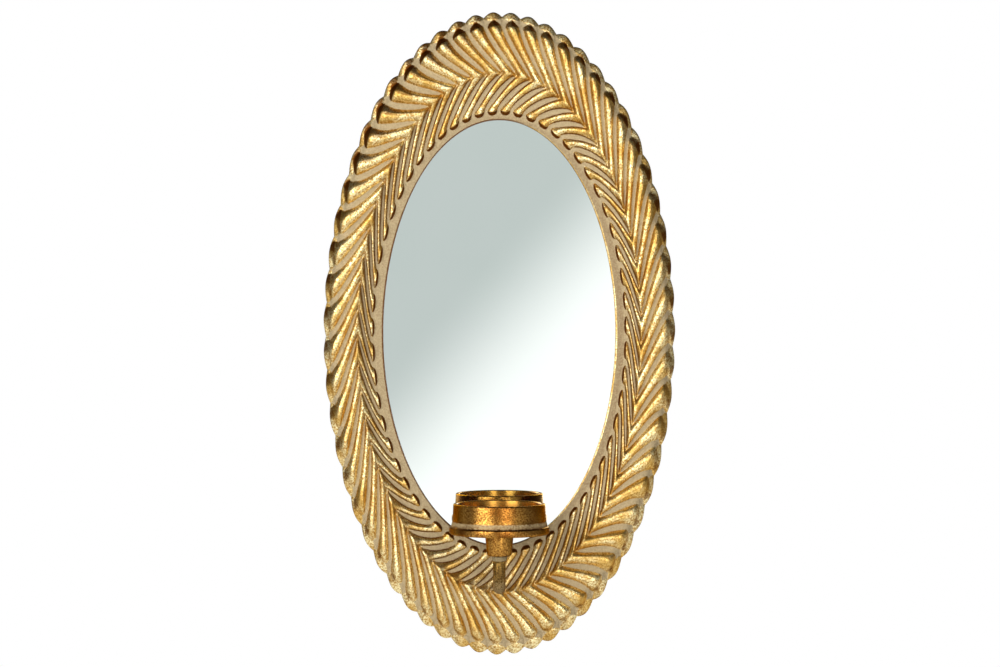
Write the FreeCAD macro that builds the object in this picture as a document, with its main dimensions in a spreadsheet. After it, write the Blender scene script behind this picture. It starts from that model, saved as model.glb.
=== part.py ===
import FreeCAD, Part
import Sketcher
import math
import os
import re

# Oval girandole mirror: a relief frame of curved gadroons, a mirror glass held from behind by a
# backing board and turn buttons, and one candle cup on a bent arm. Millimetres.
# The front faces -Y, +X is the viewer's right and +Z is up. The plane Y = 0 is the wall, and the
# origin is the point on the wall hook that carries the hanger ring. The centre of the oval lies
# hang_drop below the origin.

# ---------------------------------------------------------------- driving dimensions
SIZES = {
    # frame outline and sight opening
    "frame_height": 400.0,
    "frame_width": 218.4,
    "sight_height": 264.6,
    "sight_width": 144.6,
    # glazing: lip, glass, card and board from the front
    "lip_thickness": 3.0,
    "rebate_step": 6.5,
    "glazing_gap": 0.8,
    "glass_thickness": 3.0,
    "card_thickness": 0.8,
    "board_thickness": 2.5,
    "board_setback": 0.2,
    # gadroon pattern: count, angle of the first valley, and turns in gadroon widths
    "gadroon_count": 59.0,
    "first_valley_angle": 0.9,
    "outer_curl": 1.7,
    "outer_curl_growth": 5.7,
    "inner_curl": 8.4,
    "scallop_depth": 2.4,
    # relief heights: the rim over the frame's back, the rest over the flat lip
    "rim_thickness": 6.5,
    "bulb_rise": 3.2,
    "reed_rise": 4.4,
    "spine_rise": 7.4,
    "gadroon_rise": 9.4,
    "valley_rise": 3.8,
    "skirt_rise": 2.6,
    "scallop_rise": 1.5,
    # candle arm, its socket and its fixing behind, at a share of the way from the rebate to the rim
    "cup_standoff": 53.5,
    "arm_share": 0.272876,
    "arm_diameter": 7.5,
    "arm_bend_radius": 12.0,
    "arm_seat_height": 10.0,
    "arm_boss_gap": 20.7,
    "shoulder_diameter": 8.8,
    "shoulder_height": 3.0,
    "spigot_diameter": 5.0,
    "shank_diameter": 5.0,
    "shank_setback": 0.6,
    "fit_clearance": 0.05,
    "nut_pocket_diameter": 14.0,
    "nut_pocket_depth": 5.2,
    "nut_flats": 8.0,
    "nut_height": 3.2,
    "washer_diameter": 12.0,
    "washer_thickness": 1.0,
    # boss and candle cup
    "boss_height": 13.4,
    "boss_top_diameter": 17.5,
    "boss_foot_diameter": 14.9,
    "boss_edge": 1.2,
    "cup_bore": 51.3,
    "cup_rim_diameter": 55.9,
    "cup_foot_diameter": 58.0,
    "cup_wall_height": 11.5,
    "cove_height": 3.3,
    "flange_diameter": 61.0,
    "flange_thickness": 3.6,
    "flange_edge": 0.9,
    "cup_floor": 3.0,
    "rim_edge": 0.6,
    "cup_screw_diameter": 3.0,
    "cup_screw_length": 12.0,
    "cup_screw_head_diameter": 6.0,
    "cup_screw_head_height": 1.7,
    # turn buttons and wood screws
    "button_length": 20.0,
    "button_width": 9.0,
    "button_thickness": 1.2,
    "button_inset": 6.0,
    "button_angle": 45.0,
    "button_lift": 0.1,
    "wood_screw_diameter": 2.6,
    "wood_screw_length": 8.0,
    "wood_screw_head_diameter": 5.6,
    "wood_screw_head_height": 1.9,
    "screw_slot_width": 0.8,
    "screw_slot_depth": 0.7,
    # strap hanger, a gap above the rebate, and its ring
    "strap_gap": 2.6224,
    "ring_wire": 2.5,
    "ring_inner_width": 15.0,
    "ring_corner_radius": 2.6,
    "ring_leg": 3.0,
    "ring_lean": 3.2,
    "strap_sheet": 1.0,
    "strap_width": 11.0,
    "strap_length": 29.5,
    "strap_screw_drop": 18.3,
    "strap_screw_spacing": 7.5,
    "barrel_clearance": 0.1,
    # wall bumpers
    "bumper_height": 5.0,
    "bumper_diameter": 10.0,
    "bumper_angle": 24.0,
    "bumper_offset": 32.0,
}

# sizes that follow from the driving ones
DERIVED = {
    "rebate_depth": "glass_thickness + card_thickness + board_thickness + board_setback",
    "lip_height": "rebate_depth + lip_thickness",
    "glass_front": "bumper_height + rebate_depth",
    "rebate_half_height": "sight_height / 2 + rebate_step",
    "rebate_half_width": "sight_width / 2 + rebate_step",
    "ring_radius": "(ring_inner_width + ring_wire) / 2",
    "arc_level": "ring_corner_radius + ring_leg",
    "pin_drop": "(arc_level + ring_radius) * cos(ring_lean) - ring_wire / 2",
    "hang_drop": "rebate_half_height + strap_gap + strap_length + pin_drop",
    "arm_seat": "bumper_height + arm_seat_height",
    "arm_drop": "rebate_half_height + arm_share * (frame_height / 2 - rebate_half_height)",
    "arm_level": "-hang_drop - arm_drop",
    "boss_foot": "arm_level + arm_boss_gap",
    "cup_foot": "boss_foot + boss_height",
    "cup_height": "flange_thickness + cove_height + cup_wall_height",
    "spigot_radius": "spigot_diameter / 2",
    "cup_screw_radius": "cup_screw_diameter / 2",
    "cup_screw_foot": "cup_foot + cup_floor - fit_clearance - cup_screw_head_height - cup_screw_length",
    "nut_seat": "bumper_height + nut_pocket_depth",
    "button_seat": "bumper_height - button_lift",
    "button_ring_width": "rebate_half_width + button_inset",
    "button_ring_height": "rebate_half_height + button_inset",
    "strap_thickness": "2 * strap_sheet",
    "barrel_radius": "ring_wire / 2 + barrel_clearance + strap_sheet",
    "pin_back": "bumper_height - barrel_radius",
    "bar_half_length": "ring_radius - ring_corner_radius",
}

# where the zones of the relief lie, as shares of the band from the sight edge to the rim
REED_END = 0.099
BULB = 0.14
REED = 0.29
SPINE = 0.418
GADROON = 0.80
KNUCKLE = 0.845
SKIRT = 0.905
SCALLOP = 0.965
CURL_START = 0.882
BULB_NECK = 0.173
BULB_TURN = 0.037

# the control rows and columns of one gadroon's two faces
INNER_ROWS = (REED_END, 0.118, BULB, BULB_NECK, 0.21, 0.25, REED, 0.35, SPINE)
OUTER_ROWS = (SPINE, 0.49, 0.57, 0.65, 0.73, GADROON, KNUCKLE, 0.875, SKIRT, SCALLOP, 0.99, 1.0)
COLUMNS = 12
DEGREE = 3

# how far a cutting tool runs past what it cuts, and how close faces must lie to be sewn
OVERRUN = 1
SEWING = 0.005

doc = FreeCAD.newDocument("girandole_mirror")
sheet = doc.addObject("Spreadsheet::Sheet", "sizes")
for row, alias in enumerate(list(SIZES) + list(DERIVED), start=1):
    sheet.set("A%d" % row, alias)
    sheet.set("B%d" % row, "=" + DERIVED[alias] if alias in DERIVED else str(SIZES[alias]))
    sheet.setAlias("B%d" % row, alias)
doc.recompute()

ALIAS = re.compile(r"\b(%s)\b" % "|".join(list(SIZES) + list(DERIVED)))
AXES = {
    "X": FreeCAD.Rotation(FreeCAD.Vector(0, 1, 0), 90),
    "Y": FreeCAD.Rotation(FreeCAD.Vector(1, 0, 0), -90),
    "-Y": FreeCAD.Rotation(FreeCAD.Vector(1, 0, 0), 90),
    "Z": FreeCAD.Rotation(),
}


# ---------------------------------------------------------------- helpers
def size(alias):
    """The value of one cell of the sheet."""
    return float(getattr(sheet, alias))


def amount(text):
    """The value now of an expression written with the sheet's aliases."""
    return float(sheet.evalExpression(text))


def formula(text):
    """The same expression as another object of the document writes it."""
    return ALIAS.sub(r"sizes.\1", text)


def bind(obj, **properties):
    """Tie an object's properties to the sheet."""
    for name, text in properties.items():
        obj.setExpression(name, formula(text))
    return obj


def place(obj, x="0", y="0", z="0", rotation=None, turn=None):
    """Tie an object's place to the sheet; turn is an angle about +Y."""
    if rotation is not None:
        obj.Placement.Rotation = rotation
    for axis, text in (("x", x), ("y", y), ("z", z)):
        obj.setExpression("Placement.Base." + axis, formula(text))
    if turn is not None:
        obj.Placement.Rotation = FreeCAD.Rotation(FreeCAD.Vector(0, 1, 0), 1)
        obj.setExpression("Placement.Rotation.Angle", formula(turn))
    return obj


def cylinder(name, radius, height, x="0", y="0", z="0", axis="Z"):
    obj = bind(doc.addObject("Part::Cylinder", name), Radius=radius, Height=height)
    return place(obj, x, y, z, AXES[axis])


def box(name, length, width, height, x="0", y="0", z="0"):
    obj = bind(doc.addObject("Part::Box", name), Length=length, Width=width, Height=height)
    return place(obj, x, y, z)


def bend(name, radius, thickness, angle, x="0", y="0", z="0", rotation=None):
    """A turn of round bar, by angle degrees."""
    obj = bind(doc.addObject("Part::Torus", name), Radius1=radius, Radius2=thickness)
    obj.Angle3 = angle
    return place(obj, x, y, z, rotation)


def fuse(name, shapes):
    obj = doc.addObject("Part::MultiFuse", name)
    obj.Shapes = shapes
    return obj


def cut(name, base, tool):
    obj = doc.addObject("Part::Cut", name)
    obj.Base = base
    obj.Tool = tool
    return obj


def group(name, solids):
    """Several separate solids under one name."""
    obj = doc.addObject("Part::Compound", name)
    obj.Links = solids
    return obj


def new_sketch(body, name, role):
    """A sketch on one of the body's own origin planes."""
    sketch = body.newObject("Sketcher::SketchObject", name)
    plane = [feature for feature in body.Origin.OriginFeatures if feature.Role == role][0]
    sketch.AttachmentSupport = [(plane, "")]
    sketch.MapMode = "FlatFace"
    return sketch


def tie(sketch, kind, vertex, text):
    """Hold one coordinate of a sketch point: on an axis where it is 0, or at a bound distance."""
    if text == "0":
        axis = -2 if kind == "DistanceX" else -1
        sketch.addConstraint(Sketcher.Constraint("PointOnObject", vertex, 1, axis))
        return
    index = sketch.addConstraint(Sketcher.Constraint(kind, -1, 1, vertex, 1, amount(text)))
    sketch.setExpression("Constraints[%d]" % index, formula(text))


def turned_body(name, profile):
    """A body turned about +Z from a closed profile of (radius, height) points."""
    body = doc.addObject("PartDesign::Body", name)
    sketch = new_sketch(body, name + "_profile", "XZ_Plane")
    points = [FreeCAD.Vector(amount(radius), amount(height), 0) for radius, height in profile]
    count = len(points)
    for i in range(count):
        sketch.addGeometry(Part.LineSegment(points[i], points[(i + 1) % count]), False)
    for i in range(count):
        sketch.addConstraint(Sketcher.Constraint("Coincident", i, 2, (i + 1) % count, 1))
    for i, (radius, height) in enumerate(profile):
        tie(sketch, "DistanceX", i, radius)
        tie(sketch, "DistanceY", i, height)
    turned = body.newObject("PartDesign::Revolution", name + "_turned")
    turned.Profile = sketch
    turned.ReferenceAxis = (sketch, ["V_Axis"])
    turned.Angle = 360
    return body


def disc_body(name, radius, thickness, hole=None):
    """A round plate, or a ring where it has a hole, from its back at Y = 0 towards -Y."""
    body = doc.addObject("PartDesign::Body", name)
    sketch = new_sketch(body, name + "_outline", "XZ_Plane")
    for text in (radius, hole):
        if text is None:
            continue
        circle = Part.Circle(FreeCAD.Vector(0, 0, 0), FreeCAD.Vector(0, 0, 1), amount(text))
        edge = sketch.addGeometry(circle, False)
        sketch.addConstraint(Sketcher.Constraint("Coincident", edge, 3, -1, 1))
        index = sketch.addConstraint(Sketcher.Constraint("Radius", edge, amount(text)))
        sketch.setExpression("Constraints[%d]" % index, formula(text))
    pad = body.newObject("PartDesign::Pad", name + "_pad")
    pad.Profile = sketch
    bind(pad, Length=thickness)
    return body


# ---------------------------------------------------------------- relief of the frame
def band_point(share, angle, height):
    """A point over the frame's back, at a share of the band and a clockwise angle from the top."""
    half_width = (size("sight_width") + share * (size("frame_width") - size("sight_width"))) / 2
    half_height = (size("sight_height") + share * (size("frame_height") - size("sight_height"))) / 2
    x = half_width * math.sin(angle)
    z = half_height * math.cos(angle) - size("hang_drop")
    return FreeCAD.Vector(x, -size("bumper_height") - height, z)


def curl(share):
    """How many gadroon widths the valley has turned clockwise since the rim, at a share."""
    def outer(at):
        run = max(CURL_START - at, 0.0)
        return size("outer_curl") * run + size("outer_curl_growth") * run ** 2

    if share >= SPINE:
        return outer(share)
    run = SPINE - max(share, BULB_NECK)
    past = min(max(BULB_NECK - share, 0.0), BULB_TURN)
    return outer(SPINE) - size("inner_curl") * (run + past - past ** 2 / (2 * BULB_TURN))


def stations():
    """Along the band: share, height of the valley, height of the crest, width of the rib.

    The rib's width is a share of one gadroon's; each valley keeps a share of the full valley_rise.
    """
    lip = size("lip_height")
    rim = size("rim_thickness")
    valley = size("valley_rise")
    return (
        (REED_END, lip, lip, 0.60),
        (BULB, lip + 0.05 * valley, lip + size("bulb_rise"), 0.62),
        (REED, lip + 0.45 * valley, lip + size("reed_rise"), 0.56),
        (SPINE, lip + 0.95 * valley, lip + size("spine_rise"), 0.64),
        (GADROON, lip + valley, lip + size("gadroon_rise"), 0.68),
        (KNUCKLE, lip + 0.85 * valley, lip + size("gadroon_rise"), 0.74),
        (SKIRT, lip + 0.25 * valley, lip + size("skirt_rise"), 0.82),
        (SCALLOP, lip - 0.2 * valley, lip + size("scallop_rise"), 0.90),
        (1.0, rim - 0.3 * valley, rim, 0.90),
    )


def relief_height(share, turn):
    """Height over the frame's back; turn is 0 in a valley and 0.5 on the next crest."""
    marks = stations()
    k = max(i for i in range(len(marks) - 1) if marks[i][0] <= share)
    low, high = marks[k], marks[k + 1]
    mix = (share - low[0]) / (high[0] - low[0])
    valley, crest, width = [low[i] + mix * (high[i] - low[i]) for i in (1, 2, 3)]
    across = min(abs(turn - 0.5) / (width / 2), 1.0)
    return valley + (crest - valley) * (1 - across ** 2) ** 0.8


def relief_point(share, unit, turn):
    """A point of the relief's surface, in gadroon number unit."""
    step = 2 * math.pi / size("gadroon_count")
    angle = math.radians(size("first_valley_angle")) + (unit + turn + curl(share)) * step
    notch = size("scallop_depth") * 2 / (size("frame_height") - size("sight_height"))
    reach = max(share - KNUCKLE, 0.0) / (1 - KNUCKLE)
    scalloped = share - notch * reach * (1 - math.sin(math.pi * turn))
    return band_point(scalloped, angle, relief_height(share, turn))


def knots(count, degree):
    """Multiplicities and knots of an even clamped spline through count control points."""
    spans = count - degree
    return [degree + 1] + [1] * (spans - 1) + [degree + 1], [float(i) for i in range(spans + 1)]


def patch(grid, degree_across, degree_along):
    surface = Part.BSplineSurface()
    mults_across, knots_across = knots(len(grid), degree_across)
    mults_along, knots_along = knots(len(grid[0]), degree_along)
    surface.buildFromPolesMultsKnots(
        grid, mults_across, mults_along, knots_across, knots_along,
        False, False, degree_across, degree_along,
    )
    return surface.toShape()


def spline_edge(points):
    curve = Part.BSplineCurve()
    mults, values = knots(len(points), DEGREE)
    curve.buildFromPolesMultsKnots(points, mults, values, False, DEGREE)
    return curve.toShape()


def oval(half_width, half_height, back):
    """An upright ellipse about the mirror's centre, back being its distance from the wall."""
    centre = FreeCAD.Vector(0, -back, -size("hang_drop"))
    top = centre + FreeCAD.Vector(0, 0, half_height)
    side = centre + FreeCAD.Vector(half_width, 0, 0)
    if half_width > half_height:
        top, side = side, top
    return Part.Ellipse(top, side, centre).toShape()


def sleeve(edge, depth):
    return edge.extrude(FreeCAD.Vector(0, depth, 0))


def relief_solid():
    """The frame before it is drilled: relief in front, flat back, rebate and sight opening."""
    turns = [i / (COLUMNS - 1) for i in range(COLUMNS)]
    back = -size("bumper_height")
    faces, rim_edges, lip_edges = [], [], []
    for unit in range(int(round(size("gadroon_count")))):
        for rows in (INNER_ROWS, OUTER_ROWS):
            grid = [[relief_point(share, unit, turn) for share in rows] for turn in turns]
            faces.append(patch(grid, DEGREE, DEGREE))
        lip_edges.append(spline_edge([relief_point(REED_END, unit, turn) for turn in turns]))
        rim = [relief_point(1.0, unit, turn) for turn in turns]
        foot = [FreeCAD.Vector(point.x, back, point.z) for point in rim]
        faces.append(patch([list(pair) for pair in zip(rim, foot)], DEGREE, 1))
        rim_edges.append(spline_edge(foot))

    lip_front = size("bumper_height") + size("lip_height")
    sight = (size("sight_width") / 2, size("sight_height") / 2)
    rebate = (size("rebate_half_width"), size("rebate_half_height"))
    sight_front = oval(*sight, lip_front)
    sight_back = oval(*sight, size("glass_front"))
    rebate_front = oval(*rebate, size("glass_front"))
    rebate_back = oval(*rebate, size("bumper_height"))
    for outside, inside in (
        (Part.Wire(lip_edges), Part.Wire(sight_front)),
        (Part.Wire(rebate_front), Part.Wire(sight_back)),
        (Part.Wire(rim_edges), Part.Wire(rebate_back)),
    ):
        faces.append(Part.makeFace([outside, inside], "Part::FaceMakerBullseye"))
    faces.append(sleeve(sight_front, size("lip_thickness")))
    faces.append(sleeve(rebate_front, size("rebate_depth")))

    shell = Part.makeCompound(faces)
    shell.sewShape(SEWING)
    solid = Part.makeSolid(shell.Shells[0] if shell.Shells else Part.Shell(faces))
    if solid.Volume < 0:
        solid.reverse()
    return solid


# ---------------------------------------------------------------- sub-parts: frame and glazing
def oval_plate(name, thickness, front):
    """A flat oval that fills the rebate, front being its front face's distance from the wall."""
    outline = bind(
        doc.addObject("Part::Ellipse", name + "_outline"),
        MajorRadius="rebate_half_height - glazing_gap",
        MinorRadius="rebate_half_width - glazing_gap",
    )
    outline.Placement.Rotation = FreeCAD.Rotation(
        FreeCAD.Vector(0, 0, 1), FreeCAD.Vector(1, 0, 0), FreeCAD.Vector(0, 1, 0), "XYZ"
    )
    plate = doc.addObject("Part::Extrusion", name)
    plate.Base = outline
    plate.DirMode = "Custom"
    plate.Dir = FreeCAD.Vector(0, 1, 0)
    plate.Solid = True
    bind(plate, LengthFwd=thickness)
    return place(plate, y="-(%s)" % front, z="-hang_drop")


def quadrants(angle):
    """The same place in each quarter of the oval, as clockwise angles from the top."""
    return [angle, "180 - " + angle, "180 + " + angle, "360 - " + angle]


def button_place(angle):
    return {
        "x": "button_ring_width * sin(%s)" % angle,
        "z": "button_ring_height * cos(%s) - hang_drop" % angle,
    }


def strap_screw_levels():
    first = "-pin_drop - strap_screw_drop"
    return [first, first + " - strap_screw_spacing"]


def frame_moulding():
    blank = doc.addObject("Part::Feature", "relief_blank")
    blank.Shape = relief_solid()
    pilot = "wood_screw_diameter / 2 + fit_clearance"
    depth = "wood_screw_length"
    holes = []
    for i, angle in enumerate(quadrants("button_angle")):
        where = button_place(angle)
        holes.append(
            cylinder("button_pilot_%d" % i, pilot, depth, where["x"], "-bumper_height", where["z"], "-Y")
        )
    for i, level in enumerate(strap_screw_levels()):
        holes.append(cylinder("strap_pilot_%d" % i, pilot, depth, "0", "-bumper_height", level, "-Y"))
    holes.append(
        cylinder("arm_socket", "arm_diameter / 2 + fit_clearance", "cup_standoff", "0", "-arm_seat",
                 "arm_level", "-Y")
    )
    holes.append(
        cylinder("shank_hole", "shank_diameter / 2 + fit_clearance", "arm_seat", "0", "0",
                 "arm_level", "-Y")
    )
    holes.append(
        cylinder("nut_pocket", "nut_pocket_diameter / 2", "nut_pocket_depth", "0", "-bumper_height",
                 "arm_level", "-Y")
    )
    return cut("frame_moulding", blank, group("frame_holes", holes))


def glazing():
    glass = oval_plate("mirror_glass", "glass_thickness", "glass_front")
    card = oval_plate("backing_card", "card_thickness", "glass_front - glass_thickness")
    board = oval_plate(
        "backing_board", "board_thickness", "glass_front - glass_thickness - card_thickness"
    )
    return [glass, card, board]


# ---------------------------------------------------------------- sub-parts: fixings behind
def screw_slot(name, head_diameter, top):
    """The cutter for a driver's slot across a screw head, top being the head's height."""
    return box(
        name,
        "%s + 2 * %d" % (head_diameter, OVERRUN),
        "screw_slot_width",
        "screw_slot_depth + %d" % OVERRUN,
        "-%s / 2 - %d" % (head_diameter, OVERRUN),
        "-screw_slot_width / 2",
        top + " - screw_slot_depth",
    )


def wood_screw(name, x, y, z):
    """A slotted round-head screw whose head sits at y and whose shank runs towards -Y."""
    top = "wood_screw_length + wood_screw_head_height"
    profile = (
        ("0", "0"),
        ("wood_screw_diameter / 2", "0"),
        ("wood_screw_diameter / 2", "wood_screw_length"),
        ("wood_screw_head_diameter / 2", "wood_screw_length"),
        ("wood_screw_head_diameter / 2", "wood_screw_length + 0.35 * wood_screw_head_height"),
        ("0.38 * wood_screw_head_diameter", "wood_screw_length + 0.85 * wood_screw_head_height"),
        ("0.2 * wood_screw_head_diameter", top),
        ("0", top),
    )
    blank = turned_body(name + "_blank", profile)
    screw = cut(name, blank, screw_slot(name + "_slot", "wood_screw_head_diameter", top))
    return place(screw, x, "%s - wood_screw_length" % y, z, AXES["Y"])


def turn_button(name, angle):
    """An obround brass plate on its screw, pointing from the frame's back over the board."""
    half = "button_width / 2"
    reach = "button_length - button_width"
    plate = fuse(
        name + "_plate",
        [
            cylinder(name + "_root", half, "button_thickness", axis="Y"),
            cylinder(name + "_tip", half, "button_thickness", z="-(%s)" % reach, axis="Y"),
            box(name + "_web", "button_width", "button_thickness", reach, "-" + half, "0", "-(%s)" % reach),
        ],
    )
    hole = cylinder(
        name + "_hole", "wood_screw_diameter / 2 + 2 * fit_clearance", "button_thickness", axis="Y"
    )
    button = cut(name, plate, hole)
    where = button_place(angle)
    inwards = "atan2(button_ring_height * sin(%s); button_ring_width * cos(%s))" % (angle, angle)
    return place(button, where["x"], "-button_seat", where["z"], turn=inwards)


def turn_buttons():
    return [
        turn_button("turn_button_%d" % (i + 1), angle) for i, angle in enumerate(quadrants("button_angle"))
    ]


def turn_button_screws():
    seat = "-button_seat + button_thickness + button_lift"
    screws = []
    for i, angle in enumerate(quadrants("button_angle")):
        where = button_place(angle)
        screws.append(wood_screw("button_screw_%d" % (i + 1), where["x"], seat, where["z"]))
    return group("turn_button_screws", screws)


def hanger_strap():
    """Doubled sheet screwed to the top band, folded into a barrel round the ring's bar."""
    barrel = cylinder(
        "strap_barrel", "barrel_radius", "strap_width", "-strap_width / 2", "-pin_back", "-pin_drop", "X"
    )
    leaf = box(
        "strap_leaf", "strap_width", "strap_thickness", "strap_length",
        "-strap_width / 2", "-bumper_height", "-pin_drop - strap_length",
    )
    bore = cylinder(
        "strap_bore", "ring_wire / 2 + barrel_clearance", "strap_width + 2 * %d" % OVERRUN,
        "-strap_width / 2 - %d" % OVERRUN, "-pin_back", "-pin_drop", "X",
    )
    holes = [bore]
    for i, level in enumerate(strap_screw_levels()):
        holes.append(
            cylinder("strap_hole_%d" % i, "wood_screw_diameter / 2 + fit_clearance", "bumper_height",
                     "0", "0", level, "-Y")
        )
    return cut("hanger_strap", fuse("strap_blank", [barrel, leaf]), group("strap_holes", holes))


def hanger_screws():
    seat = "-bumper_height + strap_thickness"
    screws = [
        wood_screw("strap_screw_%d" % (i + 1), "0", seat, level)
        for i, level in enumerate(strap_screw_levels())
    ]
    return group("hanger_screws", screws)


def hanger_ring():
    """A D of round wire: a straight bar in the barrel, two corners, two legs and a half circle."""
    wire = "ring_wire / 2"
    upright = AXES["-Y"]
    right_turn = FreeCAD.Rotation(FreeCAD.Vector(0, 1, 0), 90).multiply(upright)
    left_turn = FreeCAD.Rotation(FreeCAD.Vector(0, 1, 0), 180).multiply(upright)
    ring = fuse(
        "hanger_ring",
        [
            cylinder("ring_bar", wire, "2 * bar_half_length", "-bar_half_length", axis="X"),
            bend("ring_right_corner", "ring_corner_radius", wire, 90, "bar_half_length", "0",
                 "ring_corner_radius", right_turn),
            bend("ring_left_corner", "ring_corner_radius", wire, 90, "-bar_half_length", "0",
                 "ring_corner_radius", left_turn),
            cylinder("ring_right_leg", wire, "ring_leg", "ring_radius", "0", "ring_corner_radius"),
            cylinder("ring_left_leg", wire, "ring_leg", "-ring_radius", "0", "ring_corner_radius"),
            bend("ring_arc", "ring_radius", wire, 180, "0", "0", "arc_level", upright),
        ],
    )
    ring.Placement.Rotation = FreeCAD.Rotation(FreeCAD.Vector(1, 0, 0), 1)
    ring.setExpression("Placement.Rotation.Angle", formula("ring_lean"))
    return place(ring, "0", "-pin_back", "-pin_drop")


def wall_bumpers():
    bumpers = []
    for i, angle in enumerate(quadrants("bumper_angle")):
        x = "(sight_width / 2 + bumper_offset * frame_width / frame_height) * sin(%s)" % angle
        z = "(sight_height / 2 + bumper_offset) * cos(%s) - hang_drop" % angle
        bumpers.append(
            cylinder("bumper_%d" % (i + 1), "bumper_diameter / 2", "bumper_height", x, "0", z, "-Y")
        )
    return group("wall_bumpers", bumpers)


# ---------------------------------------------------------------- sub-parts: candle arm and cup
def candle_arm():
    """Round bar out of the frame and up to the boss, with a shank behind and a spigot on top."""
    bar = "arm_diameter / 2"
    elbow = FreeCAD.Rotation(
        FreeCAD.Vector(0, 0, -1), FreeCAD.Vector(0, -1, 0), FreeCAD.Vector(-1, 0, 0), "XYZ"
    )
    arm = fuse(
        "arm_blank",
        [
            cylinder("arm_shank", "shank_diameter / 2", "arm_seat_height - shank_setback", "0",
                     "-bumper_height - shank_setback", "arm_level", "-Y"),
            cylinder("arm_run", bar, "cup_standoff - arm_bend_radius - arm_seat", "0", "-arm_seat",
                     "arm_level", "-Y"),
            bend("arm_elbow", "arm_bend_radius", bar, 90, "0", "arm_bend_radius - cup_standoff",
                 "arm_level + arm_bend_radius", elbow),
            cylinder("arm_riser", bar, "arm_boss_gap - arm_bend_radius", "0", "-cup_standoff",
                     "arm_level + arm_bend_radius"),
            cylinder("arm_shoulder", "shoulder_diameter / 2", "shoulder_height", "0", "-cup_standoff",
                     "boss_foot - shoulder_height"),
            cylinder("arm_spigot", "spigot_radius", "boss_height", "0", "-cup_standoff", "boss_foot"),
        ],
    )
    tapping = cylinder(
        "arm_tapping", "cup_screw_radius + fit_clearance", "cup_screw_length", "0", "-cup_standoff",
        "cup_screw_foot - fit_clearance",
    )
    return cut("candle_arm", arm, tapping)


def arm_washer():
    washer = disc_body(
        "arm_washer", "washer_diameter / 2", "washer_thickness", "shank_diameter / 2 + 2 * fit_clearance"
    )
    return place(washer, "0", "-nut_seat + washer_thickness", "arm_level")


def arm_nut():
    """A hexagon nut on the arm's shank, inside the pocket in the frame's back."""
    blank = doc.addObject("Part::Prism", "nut_blank")
    blank.Polygon = 6
    bind(blank, Circumradius="nut_flats / sqrt(3)", Height="nut_height")
    hole = cylinder("nut_hole", "shank_diameter / 2 + fit_clearance", "nut_height")
    nut = cut("arm_nut", blank, hole)
    return place(nut, "0", "-nut_seat + washer_thickness", "arm_level", AXES["Y"])


def cup_boss():
    hole = "spigot_radius + fit_clearance"
    profile = (
        (hole, "0"),
        ("boss_foot_diameter / 2 - boss_edge", "0"),
        ("boss_foot_diameter / 2", "boss_edge"),
        ("boss_top_diameter / 2", "boss_height"),
        (hole, "boss_height"),
    )
    return place(turned_body("cup_boss", profile), "0", "-cup_standoff", "boss_foot")


def candle_cup():
    """A turned cup: flange, cove, wall with an eased rim, and a floor countersunk for its screw."""
    hole = "cup_screw_radius + 2 * fit_clearance"
    profile = (
        (hole, "0"),
        ("flange_diameter / 2 - flange_edge", "0"),
        ("flange_diameter / 2", "flange_edge"),
        ("flange_diameter / 2", "flange_thickness - flange_edge"),
        ("flange_diameter / 2 - flange_edge", "flange_thickness"),
        ("cup_foot_diameter / 2", "flange_thickness + cove_height"),
        ("cup_rim_diameter / 2", "cup_height - rim_edge"),
        ("cup_rim_diameter / 2 - rim_edge", "cup_height"),
        ("cup_bore / 2", "cup_height"),
        ("cup_bore / 2", "cup_floor"),
        ("cup_screw_head_diameter / 2 + fit_clearance", "cup_floor"),
        (hole, "cup_floor - cup_screw_head_height"),
    )
    return place(turned_body("candle_cup", profile), "0", "-cup_standoff", "cup_foot")


def cup_screw():
    """A countersunk screw from the cup's floor down into the arm's spigot."""
    top = "cup_screw_length + cup_screw_head_height"
    profile = (
        ("0", "0"),
        ("cup_screw_radius", "0"),
        ("cup_screw_radius", "cup_screw_length"),
        ("cup_screw_head_diameter / 2", top),
        ("0", top),
    )
    blank = turned_body("cup_screw_blank", profile)
    screw = cut("cup_screw", blank, screw_slot("cup_screw_slot", "cup_screw_head_diameter", top))
    return place(screw, "0", "-cup_standoff", "cup_screw_foot")


# ---------------------------------------------------------------- build, check and write
parts = [frame_moulding()]
parts += glazing()
parts += turn_buttons()
parts += [turn_button_screws(), hanger_strap(), hanger_ring(), hanger_screws(), wall_bumpers()]
parts += [candle_arm(), arm_washer(), arm_nut(), cup_boss(), candle_cup(), cup_screw()]
doc.recompute()

for obj in doc.Objects:
    if "Invalid" in obj.State or "Error" in obj.State:
        raise RuntimeError("%s failed: %s" % (obj.Name, obj.State))
for obj in parts:
    if obj.Shape.isNull() or not obj.Shape.isValid():
        raise RuntimeError("%s has no valid shape" % obj.Label)

os.makedirs("parts", exist_ok=True)
for obj in parts:
    obj.Shape.exportStep("parts/%s.step" % obj.Label)
    extent = obj.Shape.BoundBox
    print(
        "%-18s solids %d volume %.1f x %.2f..%.2f y %.2f..%.2f z %.2f..%.2f"
        % (obj.Label, len(obj.Shape.Solids), obj.Shape.Volume, extent.XMin, extent.XMax,
           extent.YMin, extent.YMax, extent.ZMin, extent.ZMax)
    )
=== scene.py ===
import math

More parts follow.
